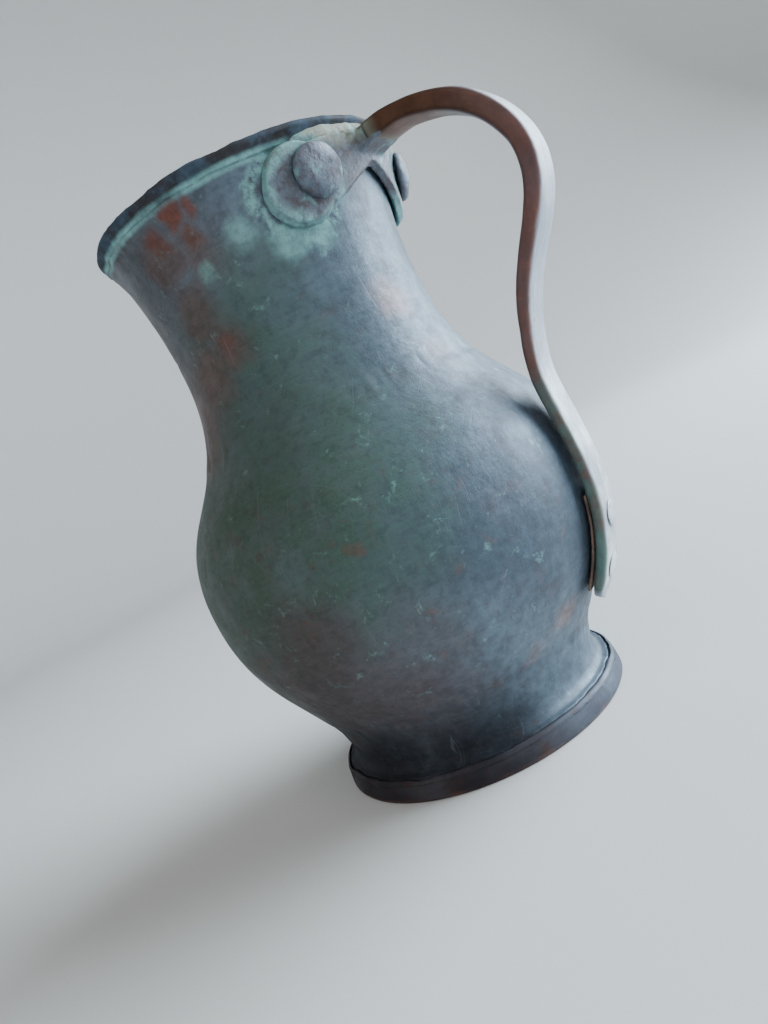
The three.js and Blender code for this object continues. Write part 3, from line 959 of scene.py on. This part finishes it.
def vesselFinish():
    p, look = patina, vesselLook
    finish, tree, shader, where = newFinish("patinated copper, vessel")
    mist, step, across = toolsFor(tree, where, look)
    height = axes(tree, where)["Z"]
    ragged = wandering(tree, where, *look["ragged"])
    loose = wandering(tree, where, *look["loose"])
    broad, medium, fine, grain = (mist(k) for k in ("broad", "medium", "fine", "grain"))
    bent = wandering(tree, where, *look["fibreBend"])
    fibres = cloud(tree, stretched(tree, bent, look["fibreScale"]), *look["fibre"])

    tealHere = patches(tree, loose, zones["teal"])
    low = step(height, "lowDown")
    russet = step(mist("russetCloud", ragged), "russet")
    reddish = step(mist("reddishCloud", ragged), "reddish")
    frost = step(mist("frostCloud", ragged), "frost")
    earFrost = times(tree, roundEars(tree, ragged, *look["earRing"]), step(fine, "earFrost"))
    color = coats(tree, p["slate"], [
        (step(broad, "paleSlate"), p["paleSlate"]),
        (step(medium, "purple"), p["purple"]),
        (times(tree, tealHere, step(medium, "teal")), p["teal"]),
        (times(tree, tealHere, step(fine, "deepTeal")), p["deepTeal"]),
        (patches(tree, loose, zones["purple"]), p["purple"]),
        (patches(tree, ragged, zones["brown"]), p["brown"]),
        (times(tree, russet, low), p["brown"]),
        (times(tree, reddish, tealHere), p["copper"]),
        (frost, p["paleTeal"]),
        (patches(tree, ragged, zones["rosy"]), p["rosy"]),
        (patches(tree, ragged, zones["copper"]), p["copper"]),
        (patches(tree, ragged, zones["paleTeal"]), p["paleTeal"]),
        (earFrost, p["paleTeal"]),
    ])
    # painted shade: the side away from the light is darkened and warmed
    color = overlay(tree, paintedShade(tree, loose, *look["paintedShade"]), color, p["paintedShade"], "MULTIPLY")

    line = rim - vessel["bandDepth"]
    # the rim band is dark umber and slate: its own brown-grey, partly painted shade, as it is lit little
    band = between(tree, height, *fromLine(line, look["band"]))
    bandTone = overlay(tree, step(medium, "bandMix"), p["umber"], p["slate"])
    alongLine = times(tree, between(tree, height, *fromLine(line, look["lineFoot"])),
                      between(tree, height, *fromLine(line, look["lineTop"])))
    patchy = step(mist("lineCloud"), "line")
    # painted shade darkens the foot, fading out upwards
    footShaded = times(tree, patches(tree, loose, zones["footShade"]), step(height, "footShadeHeight"))
    color = coats(tree, color, [
        (band, bandTone),
        (times(tree, alongLine, patchy), p["paleTeal"]),
        (footShaded, p["footShade"]),
    ])

    color = toned(tree, color, across(fibres, "fibreTone"))
    color = toned(tree, color, across(fine, "fineTone"))
    scratches = sums(tree, "MAXIMUM", *(scratched(tree, where, *way) for way in look["scratchWays"]))
    color = overlay(tree, times(tree, scratches, look["scratchShare"]), color, p["paleSlate"])
    rough = sums(tree, "ADD", across(medium, "roughness"), times(tree, tealHere, look["tealRougher"]))
    dull = sums(tree, "MAXIMUM", footShaded, band)
    rough = sums(tree, "ADD", rough, times(tree, dull, look["dullRougher"]))
    surface(tree, shader, color, rough, step(dull, "metallic"), step(dull, "specular"))
    blows = cells(tree, where, look["blows"])
    relief(tree, shader, list(zip((blows, medium, fibres, fine, grain, scratches), look["relief"])))
    return finish


tinLook = {
    "clouds": {"stains": (30, 6, 0.6), "verdigris": (75, 6, 0.65), "pitting": (500, 3)},
    "color": (0.24, 0.235, 0.22, 1),
    "coats": [("stains", (0.4, 0.65), (0.09, 0.075, 0.06, 1)),
              ("verdigris", (0.6, 0.7, 0, 0.7), (0.10, 0.20, 0.17, 1))],
    "metallic": 0.6,
    "roughness": ("stains", 0.38, 0.7),
    "blows": [(130, 0.0003)],
    "relief": {"pitting": 0.0001},
}
rivetLook = {
    "clouds": {"medium": (110, 7, 0.66), "fine": (330, 6, 0.7), "grain": (900, 4, 0.7),
               "verdigris": (140, 6, 0.65)},
    "color": (0.085, 0.105, 0.14, 1),
    "coats": [("medium", (0.36, 0.64), (0.135, 0.17, 0.215, 1)),
              ("fine", (0.42, 0.62, 0, 0.8), (0.075, 0.058, 0.064, 1)),
              ("verdigris", (0.53, 0.66, 0, 0.7), patina["paleTeal"])],
    "metallic": 0.25,
    "roughness": ("medium", 0.4, 0.6),
    "blows": [],
    "relief": {"medium": 0.0011, "fine": 0.0004, "grain": 0.00006},
}
padLook = {
    "clouds": {"medium": (90, 6, 0.66), "grain": (700, 4, 0.7)},
    "color": (0.24, 0.15, 0.11, 1),
    "coats": [("medium", (0.38, 0.62), (0.13, 0.09, 0.075, 1)),
              ("grain", (0.55, 0.7, 0, 0.6), (0.38, 0.33, 0.29, 1))],
    "metallic": 0.35,
    "roughness": ("medium", 0.45, 0.7),
    "blows": [],
    "relief": {"medium": 0.0003, "grain": 0.0001},
}


def evenFinish(name, look):  # for what looks the same all over
    finish, tree, shader, where = newFinish(name)
    clouds = {key: cloud(tree, where, *numbers) for key, numbers in look["clouds"].items()}
    color = coats(tree, look["color"], [(between(tree, clouds[key], *span), coat)
                                        for key, span, coat in look["coats"]])
    key, *span = look["roughness"]
    surface(tree, shader, color, between(tree, clouds[key], *most, *span), look["metallic"])
    relief(tree, shader, [(cells(tree, where, scale), high) for scale, high in look["blows"]]
           + [(clouds[key], high) for key, high in look["relief"].items()])
    return finish


baseLook = {
    "medium": (80, 7, 0.66),
    "grain": (800, 4, 0.7),
    "fibreScale": (90, 90, 700),
    "fibre": (1.0, 4, 0.6),
    "broad": (32, 5),
    "paleFrom": (0.38, 0.64),
    "dark": (0.042, 0.052, 0.074, 1),
    "pale": (0.095, 0.118, 0.155, 1),
    "brown": (0.5, 0.66, 0, 0.8),
    "loose": (40, 0.03),
    "edgeHeight": (8.4 * mm, 9.0 * mm, 0, 0.75),  # painted shade in the corner along the seam
    "edgeReach": (60.9 * mm, 62.2 * mm, 1, 0),
    "wornHeight": (0.2 * mm, 2.2 * mm, 0.6, 0),
    "worn": (0.35, 0.6),
    # painted shade on the side away from the light: its span and its tint
    "paintedShade": (-20 * mm, 72 * mm),
    "paintedShadeTint": (0.82, 0.58, 0.50, 1),
    "fibreTone": (0.92, 1.08),
    "metallic": 0.35,
    "roughness": (0.42, 0.64),
    "paintedShadeRougher": 0.2,
    "specular": (0, 1, 0.5, 0.15),
    "relief": (0.0003, 0.00005, 0.00006),
}


def baseFinish():
    look = baseLook
    finish, tree, shader, where = newFinish("patinated copper, base")
    mist, step, across = toolsFor(tree, where, look)
    height = axes(tree, where)["Z"]
    medium, grain = mist("medium"), mist("grain")
    fibres = cloud(tree, stretched(tree, where, look["fibreScale"]), *look["fibre"])
    loose = wandering(tree, where, *look["loose"])
    # painted shade in the corner along the seam
    corner = times(tree, step(height, "edgeHeight"), step(radiusOf(tree, where), "edgeReach"))
    worn = times(tree, step(height, "wornHeight"), step(medium, "worn"))
    color = coats(tree, look["dark"], [
        (step(mist("broad"), "paleFrom"), look["pale"]),
        (step(medium, "brown"), patina["brown"]),
        # painted shade: dark patches on the hem and in the corner along the seam
        (patches(tree, loose, zones["hemShade"]), patina["footShade"]),
        (corner, patina["footShade"]),
        (worn, patina["rosy"]),
    ])
    # painted shade: the side away from the light is darkened and warmed, and made rougher and less shiny
    dark = paintedShade(tree, loose, *look["paintedShade"])
    color = overlay(tree, dark, color, look["paintedShadeTint"], "MULTIPLY")
    color = toned(tree, color, across(fibres, "fibreTone"))
    rough = sums(tree, "ADD", across(medium, "roughness"), times(tree, dark, look["paintedShadeRougher"]))
    surface(tree, shader, color, rough, look["metallic"], step(dark, "specular"))
    relief(tree, shader, list(zip((medium, fibres, grain), look["relief"])))
    return finish


strapLook = {
    "medium": (70, 7, 0.66),
    "fine": (240, 6, 0.7),
    "grain": (900, 4, 0.7),
    "alongScale": (160, 900, 120),
    "along": (1.0, 4, 0.6),
    "mottle": (0.36, 0.64),
    # the sides are darker and warmer than the face: partly patina, partly painted shade
    "side": ((0.130, 0.054, 0.044, 1), (0.102, 0.056, 0.054, 1)),
    "sideSpots": (0.54, 0.7, 0, 0.5),
    "sideSpot": (0.20, 0.085, 0.055, 1),
    "lowPart": (0.28, 0.55),  # shares of the height of the handle
    "greenFrom": (0.34, 0.58, 0.25, 1),
    "green": (0.085, 0.15, 0.135, 1),
    # the face is paler and bluer: partly patina, partly painted light with a painted sky reflection; pale
    # makes it paler still low down, as painted light
    "face": ((0.24, 0.285, 0.34, 1), (0.34, 0.385, 0.44, 1)),
    "faceSpots": (0.5, 0.7, 0, 0.5),
    "faceSpot": (0.30, 0.20, 0.18, 1),
    "paleFrom": (0.4, 0.6, 0.35, 0.9),
    "pale": (0.66, 0.71, 0.72, 1),
    "rootReach": (14 * mm, 52 * mm, 0.95, 0),  # from the root outward
    "highPart": (0.7, 0.85),
    "rootFace": (0.125, 0.062, 0.040, 1),
    "rootSide": (0.085, 0.040, 0.024, 1),
    "wobble": 2.5 * mm,
    "faceHalf": (6.4 * mm, 8.6 * mm, 1, 0),
    "limeReach": (-3 * mm, 2 * mm, 0.7, 0),
    "alongTone": (0.84, 1.16),
    "metallic": (0, 0.9, 0.3, 0.65),
    "specular": (0, 0.9, 0.5, 0.15),
    "roughness": (0.36, 0.56),
    "blows": 110,
    "relief": (0.0002, 0.00025, 0.00008, 0.00005),
}


def strapFinish():
    look = strapLook
    finish, tree, shader, where = newFinish("forged copper bar")
    mist, step, across = toolsFor(tree, where, look)
    reach, sideways, height = axes(tree, where).values()
    sideways = sums(tree, "ABSOLUTE", sideways, 0.0)
    low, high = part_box("handle")
    medium, fine, grain = (mist(k) for k in ("medium", "fine", "grain"))
    along = cloud(tree, stretched(tree, where, look["alongScale"]), *look["along"])
    down = between(tree, height, *(mix(low.z, high.z, share) for share in look["lowPart"]), 1, 0)
    nearTop = between(tree, height, *(mix(low.z, high.z, share) for share in look["highPart"]))
    root = times(tree, between(tree, reach, *fromLine(low.x, look["rootReach"])), nearTop)
    mottle = step(medium, "mottle")
    # sides: patina, partly painted shade
    side = coats(tree, look["side"][0], [
        (mottle, look["side"][1]),
        (step(fine, "sideSpots"), look["sideSpot"]),
        (times(tree, down, step(medium, "greenFrom")), look["green"]),
        (root, look["rootSide"]),
    ])
    # outer face: patina, partly painted light with a painted sky reflection, paler still towards the tail
    face = coats(tree, look["face"][0], [
        (mottle, look["face"][1]),
        (step(fine, "faceSpots"), look["faceSpot"]),
        (times(tree, down, step(medium, "paleFrom")), look["pale"]),
        (root, look["rootFace"]),
    ])
    wobble = times(tree, sums(tree, "SUBTRACT", medium, 0.5), look["wobble"])
    toFace = between(tree, sums(tree, "ADD", sideways, wobble), *look["faceHalf"])
    limed = between(tree, sums(tree, "ADD", reach, wobble), *fromLine(low.x, look["limeReach"]))
    color = coats(tree, side, [(toFace, face), (limed, patina["lime"])])
    color = toned(tree, color, across(along, "alongTone"))
    surface(tree, shader, color, across(medium, "roughness"), step(root, "metallic"),
            step(root, "specular"))
    blows = cells(tree, where, look["blows"])
    relief(tree, shader, list(zip((blows, medium, along, grain), look["relief"])))
    return finish


saddleLook = {
    "medium": (85, 7, 0.66),
    "fine": (300, 6, 0.7),
    "grain": (900, 4, 0.7),
    "ragged": (90, 0.01),
    "dark": (0.085, 0.10, 0.13, 1),
    "pale": (0.135, 0.165, 0.205, 1),
    "paleFrom": (0.38, 0.64),
    "mauve": (0.082, 0.058, 0.062, 1),
    "mauveFrom": (0.42, 0.62, 0.1, 0.85),
    "limeLift": 8 * mm,
    "lime": (-8.5 * mm, -3 * mm),  # heights from the rim
    "mossCloud": (170, 6, 0.7),
    "mossFrom": (0.5, 0.64, 0, 0.8),
    "moss": (0.05, 0.058, 0.04, 1),
    "verdigrisCloud": (120, 6, 0.66),
    "verdigris": (0.53, 0.66, 0, 0.6),
    "earRing": (9.5, 13, 20),
    "earFrost": (0.36, 0.56, 0.2, 0.95),
    "grainTone": (0.9, 1.1),
    "metallic": 0.2,
    "roughness": (0.42, 0.62),
    "limeRougher": 0.2,
    "relief": (0.0009, 0.0004, 0.00008),
}


def saddleFinish():
    look = saddleLook
    finish, tree, shader, where = newFinish("patinated copper, saddle")
    mist, step, across = toolsFor(tree, where, look)
    height = axes(tree, where)["Z"]
    medium, fine, grain = (mist(k) for k in ("medium", "fine", "grain"))
    ragged = wandering(tree, where, *look["ragged"])
    uneven = sums(tree, "ADD", height, times(tree, medium, look["limeLift"]))
    limed = between(tree, uneven, *fromLine(rim, look["lime"]))
    moss = step(mist("mossCloud", ragged), "mossFrom")
    verdigris = step(mist("verdigrisCloud", ragged), "verdigris")
    rings = times(tree, roundEars(tree, ragged, *look["earRing"]), step(fine, "earFrost"))
    color = coats(tree, look["dark"], [
        (step(medium, "paleFrom"), look["pale"]),
        (step(fine, "mauveFrom"), look["mauve"]),
        (limed, patina["lime"]),
        (times(tree, moss, limed), look["moss"]),
        (verdigris, patina["paleTeal"]),
        (rings, patina["paleTeal"]),
    ])
    color = toned(tree, color, across(grain, "grainTone"))
    rough = sums(tree, "ADD", across(medium, "roughness"), times(tree, limed, look["limeRougher"]))
    surface(tree, shader, color, rough, look["metallic"])
    relief(tree, shader, list(zip((medium, fine, grain), look["relief"])))
    return finish


# ---- putting the jug together

slateFinish = vesselFinish()
tin = evenFinish("old tin lining", tinLook)
footFinish = baseFinish()
barFinish = strapFinish()
earFinish = saddleFinish()
headFinish = evenFinish("patinated copper, rivets", rivetLook)
bareFinish = evenFinish("bare copper packing", padLook)
print("finishes made")

makeVessel(slateFinish, tin)
makeBase(footFinish)
makeStrap(barFinish)
makeSaddle(earFinish)
makePacking(bareFinish)
for side, node in ((1, "bracket_rivet_left"), (-1, "bracket_rivet_right")):
    spot, direction = onWall(rim - bigRivet["depth"], side * bigRivet["angle"])
    makeRivet(node + "_head", bigRivet, spot, direction, headFinish, "rivet", node)
for height, node in zip(smallRivet["heights"], ("tail_rivet_upper", "tail_rivet_lower")):
    spot, direction = onWall(height, 0)
    makeRivet(node + "_head", smallRivet, spot, direction, barFinish, "bar", node)
print("pieces made")


# ---- floor, light and camera

studio = {
    "floor": (0.66, 0.65, 0.63, 1),
    "backdrop": (0.80, 0.79, 0.77, 1),
    "ambient": 0.24,
    "keyPower": 116,
    "keyTone": (0.75, 0.88, 1.0),
    "keySize": 1.7,
    "keyFrom": (1.05, 1.15, 0.15),  # right, up and ahead of the jug, in metres
    "fillPower": 5,
    "fillTone": (1, 0.97, 0.93),
    "fillSize": 1.2,
    "fillFrom": (-0.7, 0.9, -0.9),
    "aim": 0.12,  # height of the middle of the jug
    "floorReach": 2.2,
    "floorBend": 0.9,
    "floorTop": 1.8,
    "stand": 181.63 * mm,  # where the camera stands along X, then along Y and Z
    "aside": -269.27 * mm,
    "rise": 132.5 * mm,
    "bearing": -34.3,  # degrees left of +Y that it looks
    "pitch": -5.83,
    "roll": -25.44,
    "lens": 26.82,
}


def cameraAxes():
    bearing, pitch, roll = (math.radians(studio[k]) for k in ("bearing", "pitch", "roll"))
    level = math.cos(pitch)
    ahead = Vector((math.sin(bearing) * level, math.cos(bearing) * level, math.sin(pitch)))
    right = Vector((math.cos(bearing), -math.sin(bearing), 0))
    up = right.cross(ahead)
    turnedRight = right * math.cos(roll) + up * math.sin(roll)
    turnedUp = up * math.cos(roll) - right * math.sin(roll)
    return turnedRight, turnedUp, ahead


def makeCamera():
    right, up, ahead = cameraAxes()
    lens = bpy.data.cameras.new("camera")
    lens.lens = studio["lens"]
    lens.sensor_width = 36
    lens.clip_start = 0.01
    camera = bpy.data.objects.new("camera", lens)
    turn = Matrix((right, up, -ahead)).transposed().to_4x4()
    camera.matrix_world = Matrix.Translation((studio["stand"], studio["aside"], studio["rise"])) @ turn
    bpy.context.scene.collection.objects.link(camera)
    bpy.context.scene.camera = camera


def makeLight(name, kind):  # kind picks its settings
    aim = Vector((0, 0, studio["aim"]))
    place = aim.copy()
    for direction, far in zip(cameraAxes(), studio[kind + "From"]):
        place += direction * far
    lamp = bpy.data.lights.new(name, "AREA")
    lamp.shape = "DISK"
    lamp.size = studio[kind + "Size"]
    lamp.energy = studio[kind + "Power"]
    lamp.color = studio[kind + "Tone"]
    light = bpy.data.objects.new(name, lamp)
    light.location = place
    light.rotation_mode = "QUATERNION"
    light.rotation_quaternion = (aim - place).to_track_quat("-Z", "Y")
    light.visible_camera = False
    bpy.context.scene.collection.objects.link(light)


def makeFloor():
    finish, _, shader, _ = newFinish("studio floor")
    shader.inputs["Base Color"].default_value = studio["floor"]
    shader.inputs["Roughness"].default_value = 0.9
    shader.inputs["Specular IOR Level"].default_value = 0.1
    reach, bend = studio["floorReach"], studio["floorBend"]
    line = [at(0.6, 0), at(reach - bend, 0)]
    for i in range(1, 13):
        a = math.radians(90 * i / 12)
        line.append(at(reach - bend + bend * math.sin(a), bend - bend * math.cos(a)))
    line.append(at(reach, studio["floorTop"]))
    bm = spunLine(line, 96, 1e-5)
    bmesh.ops.holes_fill(bm, edges=[e for e in bm.edges if e.is_boundary and e.verts[0].co.z < 0.01])
    for face in bm.faces:
        middle = face.calc_center_median()
        toInside = Vector((0, 0, 1)) - flatPart(middle) * (middle.z > 0.05)
        if face.normal.dot(toInside) < 0:
            face.normal_flip()
    mesh = bpy.data.meshes.new("floor")
    bm.to_mesh(mesh)
    bm.free()
    mesh.materials.append(finish)
    mesh.shade_smooth()
    floor = bpy.data.objects.new("floor", mesh)
    bpy.context.scene.collection.objects.link(floor)


def makeWorld():
    world = bpy.data.worlds.new("studio")
    world.use_nodes = True
    sky = world.node_tree.nodes["Background"]
    sky.inputs["Color"].default_value = studio["backdrop"]
    sky.inputs["Strength"].default_value = studio["ambient"]
    bpy.context.scene.world = world


makeCamera()
makeFloor()
makeWorld()
makeLight("window", "key")
makeLight("fill", "fill")
print("camera and light set")
